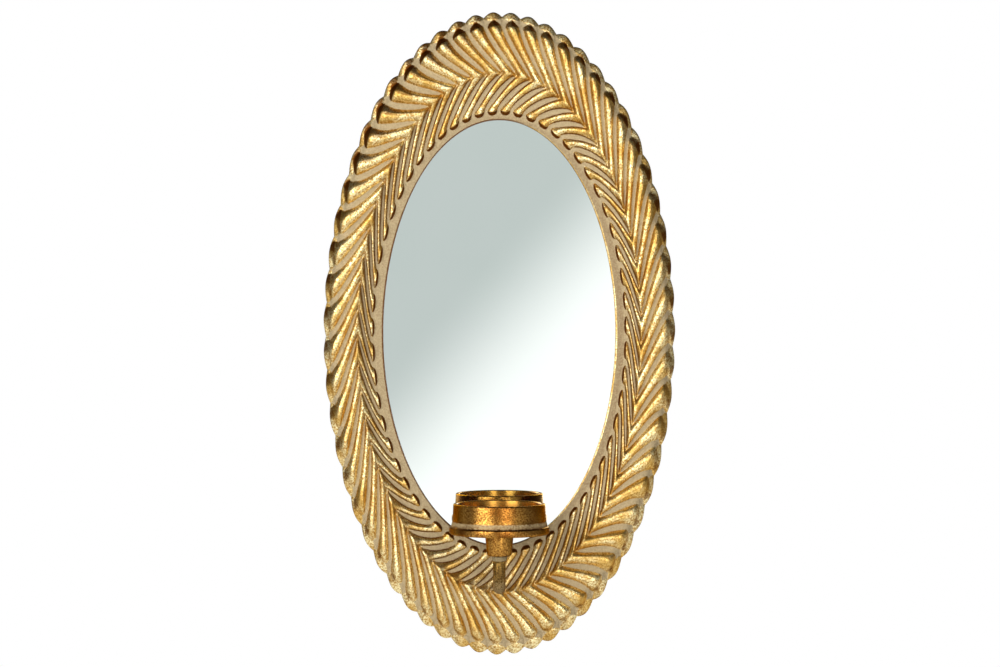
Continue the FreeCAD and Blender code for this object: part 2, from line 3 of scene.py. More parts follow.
import bpy
import numpy as np
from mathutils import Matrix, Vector

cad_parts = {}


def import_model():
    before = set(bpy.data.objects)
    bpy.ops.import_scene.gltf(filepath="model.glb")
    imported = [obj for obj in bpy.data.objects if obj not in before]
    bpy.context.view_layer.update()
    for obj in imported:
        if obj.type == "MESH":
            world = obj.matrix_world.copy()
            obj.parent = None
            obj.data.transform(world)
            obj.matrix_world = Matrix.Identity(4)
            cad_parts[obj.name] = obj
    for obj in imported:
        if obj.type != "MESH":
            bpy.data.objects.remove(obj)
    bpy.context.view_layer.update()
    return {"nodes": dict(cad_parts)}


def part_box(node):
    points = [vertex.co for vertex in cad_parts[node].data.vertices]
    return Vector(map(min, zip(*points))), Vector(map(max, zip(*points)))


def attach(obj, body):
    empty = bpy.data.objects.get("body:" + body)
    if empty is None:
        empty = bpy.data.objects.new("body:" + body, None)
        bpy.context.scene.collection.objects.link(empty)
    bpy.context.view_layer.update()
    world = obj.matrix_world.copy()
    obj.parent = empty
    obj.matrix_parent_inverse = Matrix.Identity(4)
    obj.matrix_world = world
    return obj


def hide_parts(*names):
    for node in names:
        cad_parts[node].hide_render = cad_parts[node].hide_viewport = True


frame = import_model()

# Oval girandole mirror. Made here: the painted and gilded relief frame, the turned candle cup, its
# boss and its arm. The mirror glass and the fixings behind keep their CAD meshes and get a finish.
# Metres. The front faces -Y, +Z is up, +X is the viewer's right, and the wall is the plane Y = 0.
MM = 0.001

# ---------------------------------------------------------------- sizes, from the frame and the CAD
GLASS_LOW, GLASS_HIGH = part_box("mirror_glass")
OVAL_Z = (GLASS_LOW.z + GLASS_HIGH.z) / 2
BACK = -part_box("frame_moulding")[1].y
GLAZING_GAP = 0.8 * MM
REBATE_HALF_WIDTH = GLASS_HIGH.x + GLAZING_GAP
REBATE_HALF_HEIGHT = (GLASS_HIGH.z - GLASS_LOW.z) / 2 + GLAZING_GAP
REBATE_STEP = 6.5 * MM
REBATE_DEPTH = -GLASS_LOW.y - BACK
LIP_STEP = 3.0 * MM
SIGHT_HALF_WIDTH = REBATE_HALF_WIDTH - REBATE_STEP
SIGHT_HALF_HEIGHT = REBATE_HALF_HEIGHT - REBATE_STEP
FRAME_HALF_WIDTH = 109.2 * MM
FRAME_HALF_HEIGHT = 200.0 * MM
BACK_MARGIN = 6.0 * MM
EASED_EDGE = 0.35 * MM
NUT_HALF_WIDTH = 4.0 * MM
NUT_POCKET_RADIUS = 7.0 * MM
NUT_POCKET_DEPTH = 5.2 * MM
ARM_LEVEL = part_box("arm_nut")[0].z + NUT_HALF_WIDTH

# Places across the frame's band are shares of it, 0 at the sight edge and 1 at the rim. A curl is
# in gadroon widths.
GADROONS = 59
FIRST_VALLEY = math.radians(0.9)
CURL_START = 0.882
OUTER_CURL = 1.7
OUTER_CURL_GROWTH = 5.7
SPINE = 0.418
INNER_CURL = 8.4
BULB_NECK = 0.173
BULB_TURN = 0.037
BULB_START = 0.142
BULB_END = 0.098
BULB_SHIFT_TOP = -0.058
BULB_SHIFT_SIDE = 0.046
HEAD_PLACE = 0.95
HEAD_SLANT = 2.2
NOSE_START = 0.839
NOSE_SIDE_SHIFT = 0.045
NOSE_SQUARENESS = 0.6
NOSE_LENGTH = 5.6 * MM
FAN_DEPTH = 6.4 * MM
FAN_RISE = 0.6 * MM
FAN_RISE_MORE_AT_TOP = 1.0 * MM
SCALLOP_START = 0.845
SCALLOP_DEPTH = 2.8 * MM
TOP_FAN_SHORTER = 1.2 * MM
ROLL_START = 0.975
ROLL_LENGTH = 0.045
CREASE_ACROSS = 0.15
CREASE_WIDTH = 0.1
CREASE_DEPTH = 0.25 * MM
VALLEY_HOLLOW = 0.3 * MM
SIGHT_ROUND = 1.0 * MM
SIGHT_DROP = 0.9 * MM

# How much brown glazing is left on each place, from 0, wiped clean, to 1, never wiped. Where the
# comment above an amount says so, that amount is painted shade instead.
# the steep sides, and more on the reeds' sides: partly brown glazing, partly painted shade where the
# surface turns away from the front
GLAZE_AND_SHADE_ON_SIDES = 0.12
GLAZE_AND_SHADE_MORE_ON_REED_SIDES = 0.50
GLAZE_ON_NOSES = 0.14
# painted shade: extra darkness on the noses near the top of the oval
PAINTED_SHADE_ON_TOP_NOSES = 0.34
GLAZE_ON_BULB_ENDS = 0.92
# painted shade in the fine crease beside each gadroon's crest
PAINTED_SHADE_IN_CREASES = 0.10
# painted shade on the clockwise half of each gadroon
PAINTED_SHADE_ON_CLOCKWISE_HALVES = 0.26
GLAZE_AT_UPPER_LEFT = 0.26
GLAZE_ON_FANS = 0.12
GLAZE_BESIDE_REEDS = 0.66
GLAZE_BETWEEN_RIBS_AT_SPINE = 0.5
GLAZE_ON_LIP = 0.32
# painted shade: the lip darker towards the viewer's right
PAINTED_SHADE_ON_RIGHT_LIP = 0.06
# painted shade on the sight edge's rounding at the viewer's left
PAINTED_SHADE_ON_LEFT_SIGHT_EDGE = 0.7
# the middle of the browner stretch at the upper left, in radians clockwise from the top
UPPER_LEFT_ANGLE = -0.55


# ---------------------------------------------------------------- helpers for meshes
def ease(low, high, values):
    """0 below low, 1 above high and an S between; low may be the higher of the two."""
    along = np.clip((values - low) / (high - low), 0.0, 1.0)
    return along * along * (3.0 - 2.0 * along)


def softened(shares, stations, values, reach=0.018):
    """Straight runs between stations whose corners are rounded by averaging over reach."""
    fine = np.linspace(-0.2, 1.2, 2801)
    line = np.interp(fine, stations, values)
    window = np.hanning(int(2 * reach / (fine[1] - fine[0])) | 1)
    padded = np.pad(line, len(window) // 2, mode="edge")
    return np.interp(shares, fine, np.convolve(padded, window / window.sum(), mode="valid"))


def grid_faces(rows, columns, wrap_rows, wrap_columns):
    """The corners of each quad of a grid whose vertices are numbered row by row."""
    row = np.arange(rows if wrap_rows else rows - 1)[:, None]
    column = np.arange(columns if wrap_columns else columns - 1)[None, :]
    next_row, next_column = (row + 1) % rows, (column + 1) % columns
    corners = (
        row * columns + column, row * columns + next_column,
        next_row * columns + next_column, next_row * columns + column,
    )
    return np.stack([corner.ravel() for corner in corners], axis=1)


def make_piece(name, points, faces, body, material):
    """A smooth-shaded mesh object from an array of points and an array of quads."""
    mesh = bpy.data.meshes.new(name)
    mesh.from_pydata(points.reshape(-1, 3), [], faces)
    mesh.update()
    mesh.polygons.foreach_set("use_smooth", np.ones(len(mesh.polygons), dtype=bool))
    piece = bpy.data.objects.new(name, mesh)
    bpy.context.scene.collection.objects.link(piece)
    mesh.materials.append(material)
    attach(piece, body)
    return piece


def set_attribute(piece, name, values):
    """Store one number for each vertex, which the material reads by its name."""
    layer = piece.data.attributes.new(name, "FLOAT", "POINT")
    layer.data.foreach_set("value", np.ascontiguousarray(values, dtype=np.float32).ravel())


def grid_normals(points, wrap_rows, wrap_columns):
    """Unit normals of a grid of points, from the differences to the neighbours both ways."""
    def difference(axis, wrapped):
        if wrapped:
            return np.roll(points, -1, axis) - np.roll(points, 1, axis)
        return np.gradient(points, axis=axis)

    normals = np.cross(difference(0, wrap_rows), difference(1, wrap_columns))
    return normals / np.maximum(np.linalg.norm(normals, axis=2, keepdims=True), 1e-12)


# ---------------------------------------------------------------- materials
def linear(code):
    """An sRGB hex colour as linear RGBA."""
    parts = [int(code[i:i + 2], 16) / 255 for i in (1, 3, 5)]
    return tuple(p / 12.92 if p <= 0.04045 else ((p + 0.055) / 1.055) ** 2.4 for p in parts) + (1.0,)


def add(tree, kind, inputs=None, **settings):
    """A node with its settings; an input given as a socket is linked, any other is set."""
    node = tree.nodes.new(kind)
    for name, value in settings.items():
        setattr(node, name, value)
    for key, value in (inputs or {}).items():
        if isinstance(value, bpy.types.NodeSocket):
            tree.links.new(value, node.inputs[key])
        else:
            node.inputs[key].default_value = value
    return node


def new_tree(name):
    """An empty material; returns it and its tree."""
    material = bpy.data.materials.new(name)
    material.use_nodes = True
    material.node_tree.nodes.clear()
    return material, material.node_tree


def new_material(name):
    """A material with its shader; returns the material, its tree, the shader and Object coordinates."""
    material, tree = new_tree(name)
    shader = add(tree, "ShaderNodeBsdfPrincipled")
    add(tree, "ShaderNodeOutputMaterial", {"Surface": shader.outputs[0]})
    place = add(tree, "ShaderNodeTexCoord").outputs["Object"]
    return material, tree, shader, place


GOLD_EDGE_TINT = "#f4d09a"
CLOUD_MM = 14.0


def rubbed_gold(name, ground, gold_low, gold_high, speck, shade, grain_mm,
                gloss=(0.30, 0.46), bump_mm=0.35):
    """Painted ground with gold paint rubbed over what stands up and brown glaze left in the steps.

    The attribute gild is 1 where the gold was rubbed on. The second attribute is 1 where the surface is
    made darkest: in places that is brown glazing, in others painted shade. The gold's edge is ragged at
    the grain's size, so the ground shows through as on a hand-rubbed piece.
    The gold runs from gold_low to gold_high in clouds and is dotted with speck; the ground is
    stained with shade, which is also the glaze's colour.
    """
    material, tree, shader, place = new_material(name)
    gild = add(tree, "ShaderNodeAttribute", attribute_name="gild").outputs["Fac"]
    glaze_and_shade = add(tree, "ShaderNodeAttribute", attribute_name="glaze_and_shade").outputs["Fac"]
    grain = add(tree, "ShaderNodeTexNoise", {
        "Vector": place, "Scale": 1 / (grain_mm * MM), "Detail": 3.0, "Roughness": 0.6,
    }).outputs["Fac"]
    cloud = add(tree, "ShaderNodeTexNoise", {
        "Vector": place, "Scale": 1 / (CLOUD_MM * MM), "Detail": 2.0,
    }).outputs["Fac"]
    # the grain moves the gold's edge in and out
    ragged = add(tree, "ShaderNodeMath", {0: grain, 1: 0.5, 2: gild}, operation="MULTIPLY_ADD").outputs[0]
    mask = add(tree, "ShaderNodeMapRange", {
        "Value": ragged, "From Min": 0.62, "From Max": 0.86,
    }, interpolation_type="SMOOTHSTEP").outputs[0]
    # the gold is cloudy and dotted, and the ground is stained a little
    patches = add(tree, "ShaderNodeMapRange", {
        "Value": cloud, "From Min": 0.36, "From Max": 0.62,
    }, interpolation_type="SMOOTHSTEP").outputs[0]
    tone = add(tree, "ShaderNodeMix", {0: patches, 6: linear(gold_low), 7: linear(gold_high)},
               data_type="RGBA").outputs[2]
    dirt = add(tree, "ShaderNodeMapRange", {
        "Value": grain, "From Min": 0.41, "From Max": 0.61, "To Min": 0.0, "To Max": 0.95,
    }).outputs[0]
    mottled = add(tree, "ShaderNodeMix", {0: dirt, 6: tone, 7: linear(speck)},
                  data_type="RGBA").outputs[2]
    stain = add(tree, "ShaderNodeMapRange", {
        "Value": grain, "From Min": 0.36, "From Max": 0.70, "To Min": 0.0, "To Max": 0.30,
    }).outputs[0]
    stained = add(tree, "ShaderNodeMix", {0: stain, 6: linear(ground), 7: linear(shade)},
                  data_type="RGBA").outputs[2]
    coloured = add(tree, "ShaderNodeMix", {0: mask, 6: stained, 7: mottled},
                   data_type="RGBA").outputs[2]
    # the brown glazing and the painted shade lie over both, with a ragged edge of their own
    glaze_and_shade_edge = add(tree, "ShaderNodeMath", {0: grain, 1: 0.35, 2: glaze_and_shade}, operation="MULTIPLY_ADD")
    glazed_and_shaded = add(tree, "ShaderNodeMapRange", {
        "Value": glaze_and_shade_edge.outputs[0], "From Min": 0.35, "From Max": 0.95,
    }, interpolation_type="SMOOTHSTEP").outputs[0]
    colour = add(tree, "ShaderNodeMix", {0: glazed_and_shaded, 6: coloured, 7: linear(shade)},
                 data_type="RGBA").outputs[2]
    # it is metal only where the gold is, a little less so under glazing and painted shade, and the ground
    # is duller
    bare = add(tree, "ShaderNodeMath", {0: glazed_and_shaded, 1: -0.12, 2: 1.0}, operation="MULTIPLY_ADD").outputs[0]
    metallic = add(tree, "ShaderNodeMath", {0: mask, 1: bare}, operation="MULTIPLY").outputs[0]
    rubbed = add(tree, "ShaderNodeMapRange", {
        "Value": grain, "From Min": 0.3, "From Max": 0.7, "To Min": gloss[0], "To Max": gloss[1],
    }).outputs[0]
    roughness = add(tree, "ShaderNodeMix", {0: mask, 2: 0.55, 3: rubbed}).outputs[0]
    bump = add(tree, "ShaderNodeBump", {
        "Height": grain, "Strength": 0.7, "Distance": bump_mm * MM,
    })
    shader.inputs["Specular Tint"].default_value = linear(GOLD_EDGE_TINT)
    for socket, value in (("Base Color", colour), ("Metallic", metallic), ("Roughness", roughness),
                          ("Normal", bump.outputs[0])):
        tree.links.new(value, shader.inputs[socket])
    return material


def plain_finish(name, low, high, metallic, roughness, grain_mm, stretch=(1, 1, 1), depth_mm=0.02):
    """One material of two close tones in a grain, whose stretch says along which axis it runs."""
    material, tree, shader, place = new_material(name)
    laid = add(tree, "ShaderNodeMapping", {"Vector": place, "Scale": stretch}).outputs[0]
    grain = add(tree, "ShaderNodeTexNoise", {
        "Vector": laid, "Scale": 1 / (grain_mm * MM), "Detail": 4.0,
    }).outputs["Fac"]
    spread = add(tree, "ShaderNodeMapRange", {
        "Value": grain, "From Min": 0.3, "From Max": 0.7,
    }).outputs[0]
    tone = add(tree, "ShaderNodeMix", {0: spread, 6: linear(low), 7: linear(high)}, data_type="RGBA")
    gloss = add(tree, "ShaderNodeMapRange", {
        "Value": grain, "From Min": 0.3, "From Max": 0.7,
        "To Min": roughness - 0.06, "To Max": roughness + 0.06,
    }).outputs[0]
    bump = add(tree, "ShaderNodeBump", {
        "Height": grain, "Strength": 0.3, "Distance": depth_mm * MM,
    })
    shader.inputs["Metallic"].default_value = metallic
    for socket, value in (("Base Color", tone.outputs[2]), ("Roughness", gloss),
                          ("Normal", bump.outputs[0])):
        tree.links.new(value, shader.inputs[socket])
    return material


def silvered_glass():
    """Float glass silvered behind: a clear reflection, a touch green and never quite white.

    Its haze is the slow unevenness of the silvering, in clouds of 60 mm.
    """
    material, tree, shader, place = new_material("silvered_float_glass")
    haze = add(tree, "ShaderNodeTexNoise", {"Vector": place, "Scale": 1 / (60 * MM)}).outputs["Fac"]
    tone = add(tree, "ShaderNodeMix", {0: haze, 6: linear("#eef5f1"), 7: linear("#f4f8f6")},
               data_type="RGBA").outputs[2]
    tree.links.new(tone, shader.inputs["Base Color"])
    shader.inputs["Metallic"].default_value = 1.0
    shader.inputs["Roughness"].default_value = 0.015
    return material


# Cast resin, painted cream, rubbed with gold by hand, then glazed brown and wiped. It gives warm
# soft glints on all that stands up, dull cream in the valleys and brown along each step. The real
# gold's specks are about 0.3 mm; they are drawn at 1.1 mm, so that they show.
CAST = rubbed_gold("cast_resin_cream_rubbed_gold", "#b6a480", "#e0bb6c", "#fff0b8", "#b8883c", "#66380e",
                   1.1)

# A spun metal cup under the same paint, handled until the gold is smooth and brown. It gives
# sharper, deep orange glints and almost no grain. Its specks too are drawn coarser than real.
SPUN = rubbed_gold("spun_metal_cream_rubbed_gold", "#b5a078", "#8f5c22", "#cf9a48", "#6b3c14", "#3a1c08",
                   0.8, gloss=(0.20, 0.34), bump_mm=0.15)

# A steel bar whose gold is worn thin. It gives dull bronze and greyed cream with hardly a glint.
# Its specks too are drawn coarser than real.
WORN = rubbed_gold("steel_bar_cream_worn_gold", "#978766", "#6d5028", "#a5803f", "#4f3a1e", "#3a240f", 0.9)

# Brass polished on the lathe, and toned since. It gives broad clear reflections with clouds about
# 6 mm wide.
BRIGHT = plain_finish("polished_brass_bore", "#9a6c2c", "#b88a40", 1.0, 0.24, 6.0)

# Cast resin as it leaves the mould, unpainted. It gives a dull even buff with shallow pits 2.2 mm apart.
RAW_CAST = plain_finish("raw_cast_resin_back", "#a3937a", "#b4a488", 0.0, 0.62, 2.2, depth_mm=0.08)


# ---------------------------------------------------------------- the relief frame's form
RIB_COLUMNS = np.array((-1.0, -0.96, -0.86, -0.70, -0.50, -0.26, 0.0, 0.13, 0.22, 0.30, 0.38, 0.47,
                        0.62, 0.78, 0.90, 0.97, 1.0))
VALLEY_COLUMNS = np.linspace(0.0, 1.0, 7)[1:-1]
# front rows from the sight edge out: its rounding and the lip, the bulbs, the reeds, the spine, the
# gadroons, the heads with their noses and fans, and the roll at the rim
FRONT_ROWS = np.concatenate([
    (0.0, 0.004, 0.008, 0.014, 0.020, 0.027, 0.06, 0.086), np.linspace(0.097, 0.142, 8),
    np.linspace(0.16, 0.376, 8), (0.388, 0.400, 0.412, 0.424, 0.438), np.linspace(0.46, 0.80, 9),
    np.linspace(0.826, 0.962, 19), (0.971, 0.980, 0.989, 1.0),
])
RIM_WALL_ROWS = 4
SIGHT_WALL_ROWS = 2
# strips of faces from the rim's wall over the back and through the rebate
UNPAINTED_STRIPS = 6


def curl(share):
    """Gadroon widths that a valley has turned clockwise since the rim.

    It grows with the square of the way in from the rim as far as the spine, then runs back evenly
    to the reeds' bulbs, where it slows to a stop.
    """
    def outer(at):
        run = np.maximum(CURL_START - at, 0.0)
        return OUTER_CURL * run + OUTER_CURL_GROWTH * run ** 2

    run = SPINE - np.maximum(share, BULB_NECK)
    past = np.clip(BULB_NECK - share, 0.0, BULB_TURN)
    inner = outer(SPINE) - INNER_CURL * (run + past - past ** 2 / (2 * BULB_TURN))
    return np.where(share >= SPINE, outer(share), inner)


def band_width(angle):
    """Width of the frame's band from the sight edge to the rim, which is largest at top and bottom."""
    return np.hypot((FRAME_HALF_WIDTH - SIGHT_HALF_WIDTH) * np.sin(angle),
                    (FRAME_HALF_HEIGHT - SIGHT_HALF_HEIGHT) * np.cos(angle))


def nose_run(share, across, turn, angle):
    """0 where the head's flat top ends, 1 where its nose has come down to the scallop.

    The nose starts on a straight line across the head and ends on a pointed arch, so its length
    goes with the square root of what is left to the rib's edge. It is as long in millimetres all
    round the oval, and lies square to the gadroon's own slant. The slant is steeper at the oval's
    sides, where the band is narrow, so there the nose's clockwise end reaches further out.
    """
    band = band_width(angle)
    pitch = np.hypot(FRAME_HALF_WIDTH * np.cos(angle), FRAME_HALF_HEIGHT * np.sin(angle))
    pitch = pitch * HEAD_PLACE * 2 * math.pi / GADROONS
    skew = NOSE_SQUARENESS * HEAD_SLANT / ((band / pitch) ** 2 + HEAD_SLANT ** 2)
    start = NOSE_START + NOSE_SIDE_SHIFT * np.sin(angle) ** 2
    along = (share - skew * (turn - 0.5) - start) * band / NOSE_LENGTH
    arch = np.sqrt(np.maximum(1.0 - np.abs(across), 0.02))
    return np.clip(along / arch, 0.0, 1.0)


def bulb_run(share):
    """0 where the bulb is widest, 1 where it ends towards the mirror."""
    return np.clip((BULB_START - share) / (BULB_START - BULB_END), 0.0, 1.0)


def sight_run(share, angle):
    """0 at the sight edge and 1 where its rounding, a quarter of an oval, meets the lip's flat."""
    return np.minimum(share * band_width(angle) / SIGHT_ROUND, 1.0)


def rib_width(share):
    """The rib's share of one gadroon: narrow reeds, a full spine, slim gadroons, broad heads.

    Where a reed ends, its width shrinks as a half circle does, so the bulb is round in plan.
    """
    width = softened(
        share,
        (0.09, 0.14, 0.17, 0.215, 0.29, 0.35, 0.42, 0.46, 0.52, 0.60, 0.70, 0.79, 0.845, 0.90, 0.95, 1.0),
        (0.60, 0.78, 0.65, 0.50, 0.54, 0.64, 0.86, 0.78, 0.66, 0.64, 0.67, 0.74, 0.79, 0.78, 0.78, 0.78),
    )
    return width * np.maximum(np.sqrt(1.0 - np.minimum(bulb_run(share), 0.99) ** 2), 0.16)


def valley_level(share):
    """Height of the valley floor over the frame's back."""
    return MM * softened(
        share,
        (0.0, 0.10, 0.20, 0.29, 0.418, 0.60, 0.80, 0.86, 0.915, 0.97, 1.0),
        (9.5, 9.5, 10.5, 12.2, 14.4, 15.4, 15.2, 13.5, 11.2, 10.3, 9.7),
    )


def rib_rise(share):
    """How far the crest stands over the valley floor, before the bulb's and the head's ends."""
    return MM * softened(
        share,
        (0.0, 0.13, 0.20, 0.29, 0.375, 0.398, 0.414, 0.436, 0.48, 0.60, 0.80, 0.86),
        (2.6, 2.6, 1.6, 1.6, 1.9, 2.9, 3.4, 3.4, 2.5, 2.4, 3.5, 3.9),
        reach=0.008,
    )


def crease(share, across):
    """1 in the fine line along each gadroon's crest, falling off as a bell curve does across it."""
    bell = np.exp(-((across - CREASE_ACROSS) / CREASE_WIDTH) ** 2)
    return bell * ease(0.46, 0.56, share) * (1.0 - ease(0.80, 0.838, share))


def relief(share, across, turn, angle):
    """Height of the front over the frame's back.

    A rib is a rounded dome across, with a fine crease beside its crest. Its bulb closes like a
    ball, and its head runs flat to an edge, from which the nose slopes down. A shallow fan, a low
    dome as wide as the whole gadroon, lies under the nose and rolls over at the rim. The sight
    edge is rounded over in a quarter of an oval.
    """
    down = nose_run(share, across, turn, angle)
    ends = (1.0 - 0.5 * down - 0.5 * ease(0.0, 1.0, down)) * np.sqrt(1.0 - bulb_run(share) ** 2)
    rib = rib_rise(share) * ends * (1.0 - np.minimum(np.abs(across), 1.0) ** 2) ** 0.8
    rib = rib - CREASE_DEPTH * crease(share, across)
    from_crest = np.minimum(np.abs(turn - 0.5) / 0.5, 1.0)
    roll = np.clip((share - ROLL_START) / ROLL_LENGTH, 0.0, 1.0)
    fan = (FAN_RISE + FAN_RISE_MORE_AT_TOP * np.cos(angle) ** 2) * ease(0.87, 0.93, share)
    fan = fan * (1.0 - from_crest ** 2) ** 0.6 * np.sqrt(1.0 - roll ** 2)
    hollow = VALLEY_HOLLOW * ease(0.16, 0.30, share) * (1 - ease(0.80, 0.90, share))
    floor = valley_level(share) - hollow * np.clip(np.abs(across) - 1.0, 0.0, 1.0)
    edge = SIGHT_DROP * (1.0 - np.sqrt(1.0 - (1.0 - sight_run(share, angle)) ** 2))
    return floor - edge + np.maximum(rib, fan) + 0.1 * np.minimum(rib, fan)


def gadroon_grid():
    """Share, across, turn and angle of each vertex of the front.

    Turn goes from 0 to 1 through one gadroon. Across goes from -1 to 1 over its rib, then on to 2 in
    the middle of the valley and back. The angle is clockwise from the top: that of the gadroon's
    place at the rim, and what it has curled since.
    """
    width = rib_width(FRONT_ROWS)[:, None]
    rib = 0.5 + RIB_COLUMNS * width / 2
    valley = 0.5 + width / 2 + VALLEY_COLUMNS * (1.0 - width)
    passed = np.tile(np.concatenate([rib, valley], axis=1), (1, GADROONS))
    across = np.concatenate([RIB_COLUMNS, 2.0 - np.abs(2.0 * VALLEY_COLUMNS - 1.0)])
    across = np.tile(across, (len(FRONT_ROWS), GADROONS))
    gadroon = np.repeat(np.arange(GADROONS), len(RIB_COLUMNS) + len(VALLEY_COLUMNS))
    share = np.broadcast_to(FRONT_ROWS[:, None], passed.shape)
    angle = FIRST_VALLEY + (gadroon + passed + curl(share)) * 2 * math.pi / GADROONS
    return share, across, passed % 1.0, angle


def front_outline(share, turn, angle):
    """Half width and half height of the oval that each vertex lies on.

    Near the rim the valleys are drawn in by a sine, which leaves round scallops. The bulbs lie
    further in at the top and bottom and further out at the sides, and the top's fans end short.
    """
    reach = np.clip((share - SCALLOP_START) / (1.0 - SCALLOP_START), 0.0, 1.0)
    notch = SCALLOP_DEPTH / (FRAME_HALF_HEIGHT - SIGHT_HALF_HEIGHT)
    place = share - notch * reach * (1.0 - np.abs(np.sin(math.pi * turn)))
    shift = BULB_SHIFT_TOP * np.cos(angle) ** 2 + BULB_SHIFT_SIDE * np.sin(angle) ** 2
    place = place + shift * ease(0.0, 0.085, share) * (1.0 - ease(0.13, 0.40, share))
    half_width = SIGHT_HALF_WIDTH + place * (FRAME_HALF_WIDTH - SIGHT_HALF_WIDTH)
    half_height = SIGHT_HALF_HEIGHT + place * (FRAME_HALF_HEIGHT - SIGHT_HALF_HEIGHT)
    shorter = TOP_FAN_SHORTER * ease(0.90, 1.0, share) * ease(0.6, 1.0, np.cos(angle))
    return half_width, half_height - shorter


def on_oval(half_width, half_height, angle, inset, height):
    """Points on an oval that is drawn in by inset, at a height over the frame's back."""
    return np.stack([(half_width - inset) * np.sin(angle), 0 * angle - BACK - height,
                     (half_height - inset) * np.cos(angle) + OVAL_Z], axis=-1)


def rows_behind(rim, rim_height, inner_angle):
    """The rim's wall, the flat back, the rebate and the sight edge's wall, each row an oval."""
    rebate = (REBATE_HALF_WIDTH, REBATE_HALF_HEIGHT, rim[2])
    sight = (SIGHT_HALF_WIDTH, SIGHT_HALF_HEIGHT, inner_angle)
    rows = [
        (rim, 0.0, 0.7 * rim_height), (rim, 0.0, 0.35 * rim_height), (rim, 0.0, 0.08 * rim_height),
        (rim, EASED_EDGE, 0.0),
        (rebate, -BACK_MARGIN, 0.0), (rebate, -EASED_EDGE, 0.0), (rebate, 0.0, 0.06 * REBATE_DEPTH),
        (rebate, 0.0, 0.96 * REBATE_DEPTH), (rebate, EASED_EDGE, REBATE_DEPTH),
        (sight, -EASED_EDGE, REBATE_DEPTH),
        (sight, 0.0, REBATE_DEPTH + 0.06 * LIP_STEP), (sight, 0.0, REBATE_DEPTH + 0.62 * LIP_STEP),
    ]
    return np.stack([on_oval(*oval, inset, height) for oval, inset, height in rows])


# ---------------------------------------------------------------- where its gold and glaze lie
def on_fan(share, turn, angle):
    """1 on the fan under each nose, whose edge is half an oval, and 0 on the ground beside it."""
    from_rim = (1.0 - share) * band_width(angle) / FAN_DEPTH
    edge = np.sqrt(np.maximum(1.0 - from_rim ** 2, 0.0)) - 2.0 * (from_rim > 1.0)
    return 1.0 - ease(-0.10, 0.10, np.abs(turn - 0.5) / 0.5 - edge)


def on_spine(share):
    """1 along the spine, where the ribs bend."""
    return ease(0.385, 0.405, share) * (1.0 - ease(0.43, 0.455, share))


def sight_edges(share, angle):
    """The rounded sight edge in two parts: gold as a painted highlight on the viewer's right, painted shade
    on the left.
    """
    edge = 1.0 - ease(0.60, 0.85, sight_run(share, angle))
    shaded_edge = edge * (1.0 - ease(0.0, 0.5, np.sin(angle)))
    return edge - shaded_edge, shaded_edge


def gold_on_front(share, across, turn, angle):
    """1 where the gold was rubbed on: ribs down to their noses, fans and spine; the right-hand sight edge's
    gold is a painted highlight.
    """
    rib = 1.0 - ease(0.85, 1.2, np.abs(across))
    rib = rib * ease(0.092, 0.104, share)
    rib = rib * (1.0 - ease(0.85, 1.0, nose_run(share, across, turn, angle)))
    # gold on the right-hand sight edge is a painted highlight
    bright = sight_edges(share, angle)[0]
    return np.maximum.reduce([rib, on_fan(share, turn, angle), 0.8 * on_spine(share), bright])


